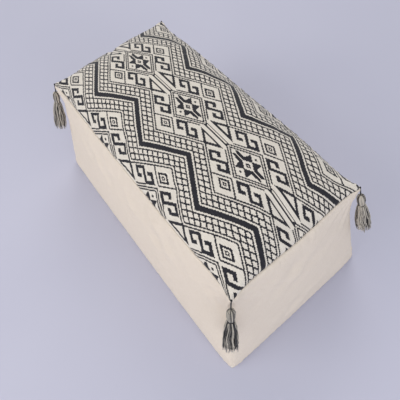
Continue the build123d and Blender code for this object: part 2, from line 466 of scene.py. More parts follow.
@dataclass(frozen=True)
class FibreWadding:
    """Bonded polyester wadding: white and soft, with a tangle of long fibres whose hollows are darkened
    with painted shade.
    """

    fibre_mm: float = 3.0

    def material(self) -> bpy.types.Material:
        """Return the wadding's material.

        Returns:
            The material.
        """
        mat, shader = new_material("bonded_wadding", Roughness=0.95, Specular_IOR_Level=0.15,
                                   Sheen_Weight=0.3)
        place = add_node(mat, "ShaderNodeTexCoord").outputs["Object"]
        tangle = add_node(mat, "ShaderNodeTexNoise", {
            "Vector": place, "Scale": 1000.0 / (4 * self.fibre_mm), "Detail": 8.0,
            "Roughness": 0.75, "Distortion": 1.5})
        colour = add_node(mat, "ShaderNodeValToRGB", {"Fac": tangle.outputs["Fac"]})
        # painted shade: the same noise makes the bump, so its hollows take the greyer colour
        ramp_stops(colour, ((0.3, "#dcdcd8"), (0.7, "#fbfbf8")))
        link_in(mat, colour.outputs[0], shader.inputs["Base Color"])
        bump = add_node(mat, "ShaderNodeBump", {"Height": tangle.outputs["Fac"], "Strength": 0.5,
                                                "Distance": 0.002})
        link_in(mat, bump.outputs[0], shader.inputs["Normal"])
        return mat


@dataclass(frozen=True)
class NylonCoil:
    """Moulded nylon zip coil: smooth, a little glossy, with the faint mottle of dyed nylon."""

    def material(self) -> bpy.types.Material:
        """Return the coil's material.

        Returns:
            The material.
        """
        mat, shader = new_material("moulded_nylon", Roughness=0.38, IOR=1.53)
        place = add_node(mat, "ShaderNodeTexCoord").outputs["Object"]
        mottle = add_node(mat, "ShaderNodeTexNoise", {"Vector": place, "Scale": 350.0, "Detail": 3.0})
        colour = add_node(mat, "ShaderNodeValToRGB", {"Fac": mottle.outputs["Fac"]})
        ramp_stops(colour, ((0.3, "#cfc3b1"), (0.7, "#dfd5c6")))
        link_in(mat, colour.outputs[0], shader.inputs["Base Color"])
        return mat


@dataclass(frozen=True)
class NickelPlate:
    """Die cast zinc with a brushed nickel plating: long fine scratches."""

    scratch_mm: float = 0.15

    def material(self) -> bpy.types.Material:
        """Return the plated metal's material.

        Returns:
            The material.
        """
        mat, shader = new_material("brushed_nickel", Metallic=1.0, Roughness=0.32)
        place = add_node(mat, "ShaderNodeTexCoord").outputs["Object"]
        drawn = add_node(mat, "ShaderNodeMapping", {"Vector": place, "Scale": (
            40.0, 1000.0 / self.scratch_mm, 1000.0 / self.scratch_mm)})
        scratch = add_node(mat, "ShaderNodeTexNoise", {"Vector": drawn.outputs[0], "Scale": 1.0,
                                                       "Detail": 3.0})
        colour = add_node(mat, "ShaderNodeValToRGB", {"Fac": scratch.outputs["Fac"]})
        ramp_stops(colour, ((0.35, "#9c9b98"), (0.7, "#c9c7c3")))
        link_in(mat, colour.outputs[0], shader.inputs["Base Color"])
        rough = add_node(mat, "ShaderNodeMapRange", {"Value": scratch.outputs["Fac"], "To Min": 0.25,
                                                     "To Max": 0.45})
        link_in(mat, rough.outputs[0], shader.inputs["Roughness"])
        bump = add_node(mat, "ShaderNodeBump", {"Height": scratch.outputs["Fac"], "Strength": 0.15,
                                                "Distance": 0.0001})
        link_in(mat, bump.outputs[0], shader.inputs["Normal"])
        return mat


@dataclass(frozen=True)
class TwistedYarn:
    """Spun and plied yarn: two or three tones, one for each strand, with a fuzzy, matt surface.

    The strand's tone is an attribute of its faces; the twist shows as a fine slanting bump, with painted
    shade in its grooves.
    """

    name: str
    tones: tuple[tuple[float, str], ...]
    ply_mm: float = 1.3
    attribute: str = "yarn_tone"

    def material(self) -> bpy.types.Material:
        """Return the yarn's material.

        Returns:
            The material.
        """
        mat, shader = new_material(self.name, Roughness=0.9, Specular_IOR_Level=0.18,
                                   Sheen_Weight=0.25, Sheen_Roughness=0.5)
        tone = add_node(mat, "ShaderNodeAttribute", attribute_name=self.attribute)
        place = add_node(mat, "ShaderNodeTexCoord").outputs["Object"]
        slant = add_node(mat, "ShaderNodeMapping", {"Vector": place, "Rotation": (0.6, 0.5, 0.0)})
        ply = add_node(mat, "ShaderNodeTexWave", {"Vector": slant.outputs[0], "Scale": 160.0 / self.ply_mm,
                                                  "Distortion": 3.0, "Detail": 2.0},
                       bands_direction="Z")
        # painted shade: the twist's wave, which also makes the bump, darkens the bump's grooves on top of
        # each strand's own tone
        uneven = add_node(mat, "ShaderNodeMath", {0: ply.outputs["Fac"], 1: 0.16,
                                                  2: tone.outputs["Fac"]}, operation="MULTIPLY_ADD")
        colour = add_node(mat, "ShaderNodeValToRGB", {"Fac": uneven.outputs[0]})
        ramp_stops(colour, self.tones)
        link_in(mat, colour.outputs[0], shader.inputs["Base Color"])
        bump = add_node(mat, "ShaderNodeBump", {"Height": ply.outputs["Fac"], "Strength": 0.5,
                                                "Distance": 0.0004})
        link_in(mat, bump.outputs[0], shader.inputs["Normal"])
        return mat


@dataclass(frozen=True)
class PaintedFloor:
    """A matt painted studio floor: pale and cool, with a barely visible unevenness."""

    colour: str = "#c8c8d9"
    colour_low: str = "#c4c4d6"

    def material(self) -> bpy.types.Material:
        """Return the floor's material.

        Returns:
            The material.
        """
        mat, shader = new_material("matt_floor_paint", Roughness=0.85, Specular_IOR_Level=0.2)
        place = add_node(mat, "ShaderNodeTexCoord").outputs["Object"]
        uneven = add_node(mat, "ShaderNodeTexNoise", {"Vector": place, "Scale": 2.0, "Detail": 2.0})
        colour = add_node(mat, "ShaderNodeValToRGB", {"Fac": uneven.outputs["Fac"]})
        ramp_stops(colour, ((0.3, self.colour_low), (0.7, self.colour)))
        link_in(mat, colour.outputs[0], shader.inputs["Base Color"])
        return mat


# ---------------------------------------------------------------------------------------------
# The cushion's form
# ---------------------------------------------------------------------------------------------


@dataclass
class CushionForm:
    """The stuffed shape that every cloth panel and every layer of filling is taken from.

    It is a closed box of quads, swollen by a cloth simulation, with pinched corners. Lengths
    are in metres; the CAD nodes give the main ones.
    """

    cells: tuple[int, int, int] = (92, 46, 30)
    bow_long: float = 8 * MM        # middle of a long seam stands this far outside its corners
    bow_end: float = 6 * MM
    bow_at_base: float = 0.3
    seam_rise: float = 9 * MM       # and this far above them
    crown_power: float = 3.0
    swell_start: float = 0.82       # share of the crown that the panels have before they swell
    pressure: float = 5.0
    last_frame: int = 20
    swell_cap: float = 20 * MM
    ear_reach: float = 21 * MM
    ear_past: float = 2.2 * MM      # how far an ear's tip runs past the cord's end, each way
    rounding: float = 3.5 * MM      # how far an upright corner is eased in
    round_reach: float = 11 * MM
    base_half: np.ndarray = field(init=False)
    seam_half: np.ndarray = field(init=False)
    seam_height: float = field(init=False)
    height: float = field(init=False)
    skew: float = field(init=False)
    grids: dict[Side, np.ndarray] = field(init=False, default_factory=dict)
    bm: bmesh.types.BMesh = field(init=False)

    def __post_init__(self) -> None:
        """Read the CAD sizes."""
        low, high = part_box("base_panel")
        top_low, top_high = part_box("top_panel")
        joints = {j["name"]: j for j in frame["record"]["behaviour"]["joints"]}
        front = joints["tassel_front_right_lift"]["pos_m"]
        rear = joints["tassel_rear_right_lift"]["pos_m"]
        self.skew = (front[0] - rear[0]) / (rear[1] - front[1])
        half_y, top_half_y = (high.y - low.y) / 2, (top_high.y - top_low.y) / 2
        self.base_half = np.array([(high.x - low.x) / 2 - self.skew * half_y, half_y])
        self.seam_half = np.array([(top_high.x - top_low.x) / 2 - self.skew * top_half_y, top_half_y])
        self.seam_height, self.height = top_low.z, top_high.z

    def even_spacing(self, axis: int) -> np.ndarray:
        """Return the places from -1 to 1, one per vertex, that are even along the domed cloth.

        Args:
            axis: 0 along the length, 1 across the width.

        Returns:
            The places, in rising order.
        """
        t = np.linspace(0.0, 1.0, 4001)
        rise = (self.height - self.seam_height - self.seam_rise) * np.sqrt(
            np.clip(1 - t ** self.crown_power, 0, 1))
        length = np.concatenate([[0.0], np.cumsum(np.hypot(
            np.diff(t) * self.seam_half[axis], np.diff(rise)))])
        half = np.linspace(-1, 1, self.cells[axis] + 1)
        return np.sign(half) * np.interp(np.abs(half) * length[-1], length, t)

    def place(self, u: np.ndarray, v: np.ndarray, w: np.ndarray, top: np.ndarray) -> np.ndarray:
        """Return where points of the unit box lie on the unswollen cushion.

        Args:
            u: place along the length, -1 to 1.
            v: place across the width, -1 to 1.
            w: height, 0 at the floor to 1 at the seam.
            top: whether each point is on the top.

        Returns:
            An array of points.
        """
        bow = self.bow_at_base + (1 - self.bow_at_base) * w
        half_x = self.base_half[0] + (self.seam_half[0] - self.base_half[0]) * w
        half_y = self.base_half[1] + (self.seam_half[1] - self.base_half[1]) * w
        x = u * (half_x + self.bow_end * bow * (1 - v ** 2))
        y = v * (half_y + self.bow_long * bow * (1 - u ** 4))
        rise = self.seam_rise * (1 - (u * v) ** 4)
        crown = self.height - self.seam_height - self.seam_rise
        dome = np.sqrt(np.clip((1 - np.abs(u) ** self.crown_power)
                               * (1 - np.abs(v) ** self.crown_power), 0, 1))
        z = w * (self.seam_height + rise) + np.where(top, self.swell_start * crown * dome, 0.0)
        return np.stack([x - self.skew * y, y, z], axis=-1)

    def build(self) -> None:
        """Make the box, swell it, pinch its corners and keep each side as a grid of points."""
        self.bm = bmesh.new()
        bmesh.ops.create_cube(self.bm, size=2.0)
        for axis, count in enumerate(self.cells):
            edges = [e for e in self.bm.edges
                     if abs(e.verts[0].co[axis] - e.verts[1].co[axis]) > 1e-4]
            bmesh.ops.subdivide_edges(self.bm, edges=edges, cuts=count - 1, use_grid_fill=True)
        unit = np.array([v.co[:] for v in self.bm.verts])
        index = np.rint((unit + 1) / 2 * np.array(self.cells)).astype(int)
        across = self.even_spacing(0)[index[:, 0]], self.even_spacing(1)[index[:, 1]]
        on_top = index[:, 2] == self.cells[2]
        height = index[:, 2] / self.cells[2]
        points = self.place(across[0], across[1], height, on_top)
        self.write(points)
        points = self.swollen(points, unit, index)
        points = self.rounded(self.flat_for_zip(points, index), index)
        points = self.pinched(points)
        points[index[:, 2] == 0, 2] = 0.0
        points[:, 2] = np.maximum(points[:, 2], 0.0)
        self.write(points)
        self.read_grids(points, index)

    def write(self, points: np.ndarray) -> None:
        """Move the box's vertices to these points.

        Args:
            points: one point per vertex.
        """
        for vert, point in zip(self.bm.verts, points):
            vert.co = point
        self.bm.normal_update()

    def swollen(self, points: np.ndarray, unit: np.ndarray, index: np.ndarray) -> np.ndarray:
        """Swell the panels with cloth under pressure, held at the base, seams and corners.

        Args:
            points: where the vertices start.
            unit: their places on the cube from -1 to 1.
            index: their whole-number places.

        Returns:
            Where they end, each within swell_cap of its start.
        """
        at_edge = np.abs(unit) > 1 - 1e-4
        on_seam = at_edge[:, 2] & (at_edge[:, 0] | at_edge[:, 1]) & (unit[:, 2] > 0)
        upright = at_edge[:, 0] & at_edge[:, 1]
        mesh = bpy.data.meshes.new("swelling")
        self.bm.to_mesh(mesh)
        held = bpy.data.objects.new("swelling", mesh)
        bpy.context.scene.collection.objects.link(held)
        pins = held.vertex_groups.new(name="held")
        for weight, chosen in ((1.0, index[:, 2] == 0), (0.35, on_seam), (0.7, upright)):
            pins.add([int(k) for k in np.flatnonzero(chosen)], weight, "REPLACE")
        cloth = held.modifiers.new("swell", "CLOTH")
        cloth.settings.use_pressure = True
        cloth.settings.uniform_pressure_force = self.pressure
        cloth.settings.vertex_group_mass = "held"
        cloth.settings.effector_weights.gravity = 0.0
        cloth.settings.quality = 5
        cloth.settings.tension_stiffness = 25.0
        cloth.settings.compression_stiffness = 25.0
        cloth.settings.bending_stiffness = 2.0
        cloth.collision_settings.use_collision = False
        cloth.point_cache.frame_start, cloth.point_cache.frame_end = 1, self.last_frame
        scene = bpy.context.scene
        for step in range(1, self.last_frame + 1):
            scene.frame_set(step)
        done = held.evaluated_get(bpy.context.evaluated_depsgraph_get()).data
        moved = np.empty(len(done.vertices) * 3)
        done.vertices.foreach_get("co", moved)
        shift = moved.reshape(-1, 3) - points
        scene.frame_set(1)
        bpy.data.objects.remove(held)
        bpy.data.meshes.remove(mesh)
        size = np.linalg.norm(shift, axis=1)[:, None]
        log.info("cover swelled by up to %.1f mm, %.1f mm on average", size.max() / MM,
                 size.mean() / MM)
        shift *= np.tanh(size / self.swell_cap) * self.swell_cap / np.maximum(size, 1e-9)
        shift[index[:, 2] == 0] = 0.0
        return points + shift

    def rear_face(self, z: np.ndarray | float) -> np.ndarray | float:
        """Return the y of the flat rear face that holds the zip, at a height."""
        share = z / self.seam_height
        return self.base_half[1] + (self.seam_half[1] - self.base_half[1]) * share

    def flat_for_zip(self, points: np.ndarray, index: np.ndarray) -> np.ndarray:
        """Bring the rear cloth to the flat face along the zip.

        Args:
            points: one point per vertex.
            index: their whole-number places.

        Returns:
            The points with the rear levelled.
        """
        rear = index[:, 1] == self.cells[1]
        tape_low, tape_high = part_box("zipper_tape_lower")[0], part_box("zipper_tape_upper")[1]
        middle = (tape_low.z + tape_high.z) / 2
        beyond_z = np.maximum(np.abs(points[:, 2] - middle) - 12 * MM, 0) / (26 * MM)
        beyond_x = np.maximum(np.abs(points[:, 0]) - tape_high.x, 0) / (36 * MM)
        weight = np.where(rear, np.exp(-(beyond_z ** 2 + beyond_x ** 2) * 2), 0.0)
        flat = points.copy()
        flat[:, 1] += weight * (self.rear_face(points[:, 2]) - points[:, 1])
        return flat

    def pinched(self, points: np.ndarray) -> np.ndarray:
        """Draw the four top corners out into ears whose tips meet the tassels' cords.

        Args:
            points: one point per vertex.

        Returns:
            The points with the ears drawn out.
        """
        out = points.copy()
        joints = {j["name"]: j for j in frame["record"]["behaviour"]["joints"]}
        for corner in Corner:
            ahead = np.array([*corner.value, 0.0])
            tip = points[np.argmax(points @ (ahead + [0, 0, 1.5]))]
            cord = np.array(joints[corner.tassel + "_lift"]["pos_m"])
            near = np.linalg.norm(points - tip, axis=1)
            pull = np.exp(-(near / self.ear_reach) ** 1.35)[:, None]
            out += pull * (cord - tip + ahead * self.ear_past)
        return out

    def rounded(self, points: np.ndarray, index: np.ndarray) -> np.ndarray:
        """Ease the upright corners, which the stuffing rounds off.

        Args:
            points: one point per vertex.
            index: their whole-number places.

        Returns:
            The points with the corners eased.
        """
        out = points.copy()
        for corner in Corner:
            ends = [self.cells[k] if corner.value[k] > 0 else 0 for k in (0, 1)]
            edge = points[(index[:, 0] == ends[0]) & (index[:, 1] == ends[1])]
            edge = edge[np.argsort(edge[:, 2])]
            there = np.stack([np.interp(points[:, 2], edge[:, 2], edge[:, k]) for k in (0, 1)], -1)
            near = np.linalg.norm(points[:, :2] - there, axis=1)
            ease = np.exp(-near / self.round_reach) * np.clip(
                (self.seam_height - points[:, 2]) / (70 * MM), 0, 1)
            out[:, :2] -= (ease * self.rounding)[:, None] * np.array(corner.value) / math.sqrt(2)
        return out

    def read_grids(self, points: np.ndarray, index: np.ndarray) -> None:
        """Keep each side's vertices as a grid, first axis along the side, second up or rearward.

        Args:
            points: one point per vertex.
            index: their whole-number places.
        """
        last = self.cells
        for side in Side:
            axis = [abs(k) for k in side.value].index(1)
            level = last[axis] if sum(side.value) > 0 else 0
            first, second = [k for k in range(3) if k != axis]
            chosen = index[:, axis] == level
            grid = np.zeros((last[first] + 1, last[second] + 1, 3))
            grid[index[chosen, first], index[chosen, second]] = points[chosen]
            self.grids[side] = grid

    def layer(self, inset: float, low: float | None, high: float | None) -> bmesh.types.BMesh:
        """Return a closed copy of the form, stepped inwards and cut level.

        Args:
            inset: how far inside the cover's outer face.
            low: height of the level cut below it, if there is one.
            high: height of the level cut above it, if there is one.

        Returns:
            The new mesh.
        """
        bm = self.bm.copy()
        bm.normal_update()
        shifts = [v.normal.copy() for v in bm.verts]
        for vert, normal in zip(bm.verts, shifts):
            vert.co -= normal * inset
        bmesh.ops.smooth_vert(bm, verts=bm.verts, factor=0.5, use_axis_x=True, use_axis_y=True,
                              use_axis_z=True)
        for height, below in ((low, True), (high, False)):
            if height is None:
                continue
            bmesh.ops.bisect_plane(bm, geom=bm.verts[:] + bm.edges[:] + bm.faces[:],
                                   plane_co=(0, 0, height), plane_no=(0, 0, 1),
                                   clear_inner=below, clear_outer=not below)
            rim = [e for e in bm.edges if e.is_boundary]
            bmesh.ops.holes_fill(bm, edges=rim, sides=0)
        bmesh.ops.recalc_face_normals(bm, faces=bm.faces)
        if bm.calc_volume(signed=True) < 0:
            bmesh.ops.reverse_faces(bm, faces=bm.faces)
        bm.normal_update()
        return bm


# ---------------------------------------------------------------------------------------------
# The woven top's draft
# ---------------------------------------------------------------------------------------------


@dataclass(frozen=True)
class DiamondDraft:
    """The weaver's draft of the top: stepped medallions with stars, hooks and zigzag borders.

    Each place is told by its distance in two slanting directions from the middle of a star, in
    units of the medallion. Everything repeats along the cloth and mirrors across it.
    """

    repeat_mm: float = 158.0
    unit_mm: float = 44.73
    star_x_mm: float = -4.0
    star_y_mm: float = 8.76
    side_column: float = 3.62
    mirror_at: float = 1.155
    lattice_step: float = 0.112

    # Bars and blocks of the hooked meander: (out from, out to, along from, along to)
    MEANDER = (
        (0.385, 0.455, -0.31, -0.07), (0.385, 0.625, -0.31, -0.245), (0.55, 0.625, -0.245, -0.175),
        (0.385, 0.735, -0.135, -0.07), (0.675, 0.735, -0.135, 0.105), (0.505, 0.735, 0.045, 0.105),
        (0.505, 0.58, -0.02, 0.045), (0.372, 0.402, -0.07, 0.2), (0.38, 0.785, -0.405, -0.375),
    )
    # Lines that run all round a medallion: (out from, out to)
    RINGS = ((0.27, 0.299), (0.32, 0.349), (0.755, 0.785), (0.812, 0.842), (0.925, 0.955),
             (1.035, 1.065), (1.1, 1.21))

    def is_dark(self, x_mm: np.ndarray, y_mm: np.ndarray) -> np.ndarray:
        """Return whether the charcoal yarn is on the face at each place of the flat cloth.

        Args:
            x_mm: distance along the cloth from its middle.
            y_mm: distance across the cloth from its middle.

        Returns:
            A boolean array.
        """
        along = (x_mm - self.star_x_mm) / (self.repeat_mm / 2)
        a = np.abs(np.mod(along + 1.0, 2.0) - 1.0)
        b = np.abs(y_mm - self.star_y_mm) / self.unit_mm
        side = (a + b) / 2 >= self.mirror_at
        a = np.where(side, 1.0 - a, a)
        b = np.where(side, np.abs(self.side_column - b), b)
        f, g = (a + b) / 2, (a - b) / 2
        dark = np.zeros(f.shape, bool)
        for low, high in self.RINGS:
            dark |= (f >= low) & (f <= high)
        ladder = np.mod(g + 0.84 + self.lattice_step / 2, self.lattice_step) - self.lattice_step / 2
        dark |= (f > 0.84) & (f < 1.05) & (np.abs(ladder) < 0.0155)
        arm = f > 0.09
        arm &= f < 0.258
        dark |= arm & (g >= -0.105) & (g <= 0.025) & (f < 0.272 - 0.84 * (g + 0.105))
        dark |= arm & (g > 0.025) & (g <= 0.18) & (f < 0.164 + 0.75 * (g - 0.025)) & (b > 0.008)
        dark |= (np.abs(g + 0.18) < 0.022) & (np.abs(f - 0.18) < 0.022)
        dark |= (f < 0.042) & (f > 0.012)
        dark |= (a > 0.62) & (b >= 0.03) & (b <= 0.07) & (f > 0.32)
        dark |= (b >= 0.22) & (g >= 0.20) & ((b < 0.285) | (g < 0.255)) & (f < 0.765)
        for f0, f1, g0, g1 in self.MEANDER:
            dark |= (f >= f0) & (f <= f1) & (g >= g0) & (g <= g1)
        ring = np.maximum(np.abs(g + 0.545), np.abs(f - 0.545))
        dark |= ((ring > 0.012) & (ring < 0.036)) | ((ring >= 0.062) & (ring <= 0.102))
        return dark


# ---------------------------------------------------------------------------------------------
# The cover
# ---------------------------------------------------------------------------------------------


@dataclass
class CoverPanel:
    """One cloth panel of the cover, taken from one side of the form."""

    name: str
    side: Side
    columns: int
    rows: int
    nodes: tuple[str, ...]
    low_edge: Callable[[np.ndarray], np.ndarray] | None = None
    high_edge: Callable[[np.ndarray], np.ndarray] | None = None
    thickness: float = 1.2 * MM
    groove: float = 2.0 * MM        # how far the cloth dips into a seam
    groove_reach: float = 2.6 * MM
    pucker: float = 0.75 * MM       # height of the small gathers along a seam
    pucker_reach: float = 9 * MM
    fold: float = 2.7 * MM          # height of the folds that fan out from a corner
    fold_reach: float = 44 * MM
    slack: float = 1.3 * MM         # slow unevenness of the stuffed cloth
    over_share: tuple[float, float] = (1.0, 1.0)  # share of a dome's extra length that is cloth
    seed: int = 1

    def lines(self) -> tuple[np.ndarray, np.ndarray]:
        """Return the panel's points and their (across, along) distances in metres.

        Returns:
            The points, and their places on the flat cloth.
        """
        grid = FORM.grids[self.side]
        long_way = np.linspace(0, grid.shape[0] - 1, self.columns + 1)
        points = resampled(grid, long_way)
        last = grid.shape[1] - 1
        low = np.zeros(self.columns + 1) if self.low_edge is None else self.low_edge(points)
        high = np.full(self.columns + 1, last) if self.high_edge is None else self.high_edge(points)
        share = np.linspace(0, 1, self.rows + 1)[:, None]
        points = resampled(points.swapaxes(0, 1), low + (high - low) * share).swapaxes(0, 1)
        cloth = np.zeros(points.shape[:2] + (2,))
        for axis in (0, 1):
            moves = np.diff(points, axis=axis)
            over, level = np.linalg.norm(moves, axis=2), np.linalg.norm(moves[:, :, :2], axis=2)
            if self.side not in (Side.TOP, Side.BASE):
                level = over
            step = level + self.over_share[axis] * (over - level)
            middle = step[:, step.shape[1] // 2] if axis == 0 else step[step.shape[0] // 2]
            run = np.concatenate([[0.0], np.cumsum(middle)])
            run -= run[-1] / 2
            cloth[:, :, axis] = run[:, None] if axis == 0 else run[None, :]
        return points, cloth

    def outward(self, points: np.ndarray) -> np.ndarray:
        """Return the outward normals of a grid of points.

        Args:
            points: the panel's grid of points.

        Returns:
            One unit vector per point.
        """
        normal = np.cross(np.gradient(points, axis=0), np.gradient(points, axis=1))
        normal /= np.maximum(np.linalg.norm(normal, axis=2), 1e-12)[:, :, None]
        facing = np.sign(np.sum(normal.mean(axis=(0, 1)) * np.array(self.side.value)))
        return normal * facing

    def shaped(self) -> tuple[np.ndarray, np.ndarray]:
        """Return the panel's points with seam grooves, gathers and folds, and its cloth places.

        Returns:
            The points, and their places on the flat cloth.
        """
        points, cloth = self.lines()
        normal = self.outward(points)
        lift = np.zeros(points.shape[:2])
        edge_gap = np.full(points.shape[:2], 1.0)
        for axis in (0, 1):
            other = cloth[:, :, 1 - axis]
            for end in (0, -1):
                edge = np.take(points, [end], axis=axis)
                gap = np.linalg.norm(points - edge, axis=2)
                edge_gap = np.minimum(edge_gap, gap)
                wave = ripple(other, 11 * MM, self.seed * 10 + axis * 2 + end)
                lift += self.pucker * wave * np.exp(-gap / self.pucker_reach) * np.minimum(
                    gap / (3 * MM), 1)
        for i in (0, -1):
            for j in (0, -1):
                away = points - points[i, j]
                near = np.linalg.norm(away, axis=2)
                across = np.abs(cloth[:, :, 0] - cloth[i, j, 0])
                along = np.abs(cloth[:, :, 1] - cloth[i, j, 1])
                angle = np.arctan2(along, across)
                fan = ripple(angle, 0.42, self.seed * 20 + i * 2 + j)
                ease = np.minimum(near / (8 * MM), 1) * np.exp(-near / self.fold_reach)
                high = 1.0 if self.side is Side.TOP or j == -1 else 0.35
                lift += self.fold * high * fan * ease
        slow = ripple(cloth[:, :, 0], 96 * MM, self.seed) * ripple(cloth[:, :, 1], 74 * MM,
                                                                 self.seed + 5)
        lift += self.slack * slow * np.minimum(edge_gap / (25 * MM), 1)
        inward = self.inward(points)
        dip = self.groove * np.exp(-(edge_gap / self.groove_reach) ** 2)
        shaped = points + normal * lift[:, :, None] + inward * dip[:, :, None]
        shaped[:, :, 2] = np.maximum(shaped[:, :, 2], 0.0)
        return shaped, cloth

    @staticmethod
    def inward(points: np.ndarray) -> np.ndarray:
        """Return the directions from points to the cushion's spine, for seams to dip along.

        Args:
            points: the panel's grid of points.

        Returns:
            One unit vector per point.
        """
        spine = points.copy()
        reach = FORM.seam_half[0] - FORM.seam_half[1]
        spine[:, :, 0] = np.clip(points[:, :, 0], -reach, reach)
        spine[:, :, 1] = 0.0
        spine[:, :, 2] = FORM.seam_height / 2
        way = spine - points
        return way / np.linalg.norm(way, axis=2)[:, :, None]

    def build(self, material: bpy.types.Material, body: str, slot: str,
              draft: DiamondDraft | None = None) -> bpy.types.Object:
        """Args:
            material: its cloth.
            body: the CAD body that it rides on.
            slot: the record's material slot.
            draft: the weaving draft, on a patterned panel.

        Returns:
            The panel's object.
        """
        points, cloth = self.shaped()
        bm = bmesh.new()
        bmesh.ops.create_grid(bm, x_segments=self.columns, y_segments=self.rows, size=1.0)
        if self.side in (Side.BASE, Side.REAR, Side.LEFT):
            bmesh.ops.reverse_faces(bm, faces=bm.faces)
        piece = new_piece(self.name, bm, material)
        mesh = piece.data
        unit = np.empty(len(mesh.vertices) * 3)
        mesh.vertices.foreach_get("co", unit)
        unit = (unit.reshape(-1, 3)[:, :2] + 1) / 2
        i = np.rint(unit[:, 0] * self.columns).astype(int)
        j = np.rint(unit[:, 1] * self.rows).astype(int)
        mesh.vertices.foreach_set("co", points[i, j].ravel())
        corners = np.empty(len(mesh.loops), int)
        mesh.loops.foreach_get("vertex_index", corners)
        layer = mesh.uv_layers.new(name="cloth")
        layer.data.foreach_set("uv", cloth[i, j][corners].ravel())
        if draft is not None:
            faces = corners.reshape(-1, 4)
            middle = cloth[i, j][faces].mean(axis=1) / MM
            light = ~draft.is_dark(middle[:, 0], middle[:, 1])
            yarn = mesh.attributes.new(PatternedCloth().attribute, "FLOAT", "FACE")
            yarn.data.foreach_set("value", light.astype(np.float32))
        mesh.update()
        wall = piece.modifiers.new("cloth thickness", "SOLIDIFY")
        wall.thickness = self.thickness
        wall.offset = -1.0
        settle(piece, body, slot, *self.nodes)
        return piece


FORM = CushionForm()


@dataclass
class Cover:
    """The six sided cover: woven top, canvas sides and base, with the zip opening at the rear."""

    body: str = "cushion"
    opening: float = 12 * MM
    opening_end: float = 7 * MM     # length over which the opening closes beyond the zip

    def rear_split(self, towards: float) -> Callable[[np.ndarray], np.ndarray]:
        """Return the rear seam's line, moved up or down to leave the zip's opening.

        Args:
            towards: 1 for the panel above the zip, -1 for the strip below it.

        Returns:
            A function from the rear side's points to grid places up the side.
        """
        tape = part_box("zipper_tape_lower")[0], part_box("zipper_tape_upper")[1]
        middle = (tape[0].z + tape[1].z) / 2
        half_length = tape[1].x - 6 * MM

        def line(points: np.ndarray) -> np.ndarray:
            """Return the grid place up the side for each column of points.

            Args:
                points: the rear side's grid of points.

            Returns:
                One place per column.
            """
            x = points[:, 0, 0]
            beyond = np.clip((np.abs(x) - half_length) / self.opening_end, 0, 1)
            open_here = 1 - beyond * beyond * (3 - 2 * beyond)
            wanted = middle + towards * self.opening / 2 * open_here
            places = np.arange(points.shape[1])
            return np.array([np.interp(h, column[:, 2], places)
                             for h, column in zip(wanted, points)])

        return line

    def build(self) -> list[bpy.types.Object]:
        """Make all the cover's panels.

        Returns:
            The panels.
        """
        weave = PatternedCloth().material()
        canvas = WovenPlain("cream_canvas", "#ecdfd0", "#d9c9b6").material()
        lower, upper = self.rear_split(-1), self.rear_split(1)
        made = []
        top = CoverPanel("top_panel_woven", Side.TOP, 388, 252, ("top_panel",), groove=2.2 * MM,
                         fold=0.9 * MM, slack=0.7 * MM, over_share=(0.0, 0.66), seed=3)
        made.append(top.build(weave, self.body, "patterned_cloth", DiamondDraft()))
        panels = (
            CoverPanel("front_panel_canvas", Side.FRONT, 190, 72, ("front_panel",), seed=4),
            CoverPanel("left_end_panel_canvas", Side.LEFT, 100, 72, ("left_end_panel",), seed=5),
            CoverPanel("right_end_panel_canvas", Side.RIGHT, 100, 72, ("right_end_panel",), seed=6),
            CoverPanel("rear_panel_canvas", Side.REAR, 190, 58, ("rear_panel",), low_edge=upper,
                       groove=1.2 * MM, seed=7),
            CoverPanel("rear_zip_strip_canvas", Side.REAR, 190, 18, ("rear_zip_strip",),
                       high_edge=lower, groove=1.2 * MM, seed=8, slack=0.3 * MM, pucker=0.3 * MM),
            CoverPanel("base_panel_canvas", Side.BASE, 150, 80, ("base_panel",), groove=1.5 * MM,
                       slack=0.0, fold=0.0, pucker=0.0, seed=9),
        )
        made += [panel.build(canvas, self.body, "cover_canvas") for panel in panels]
        return made


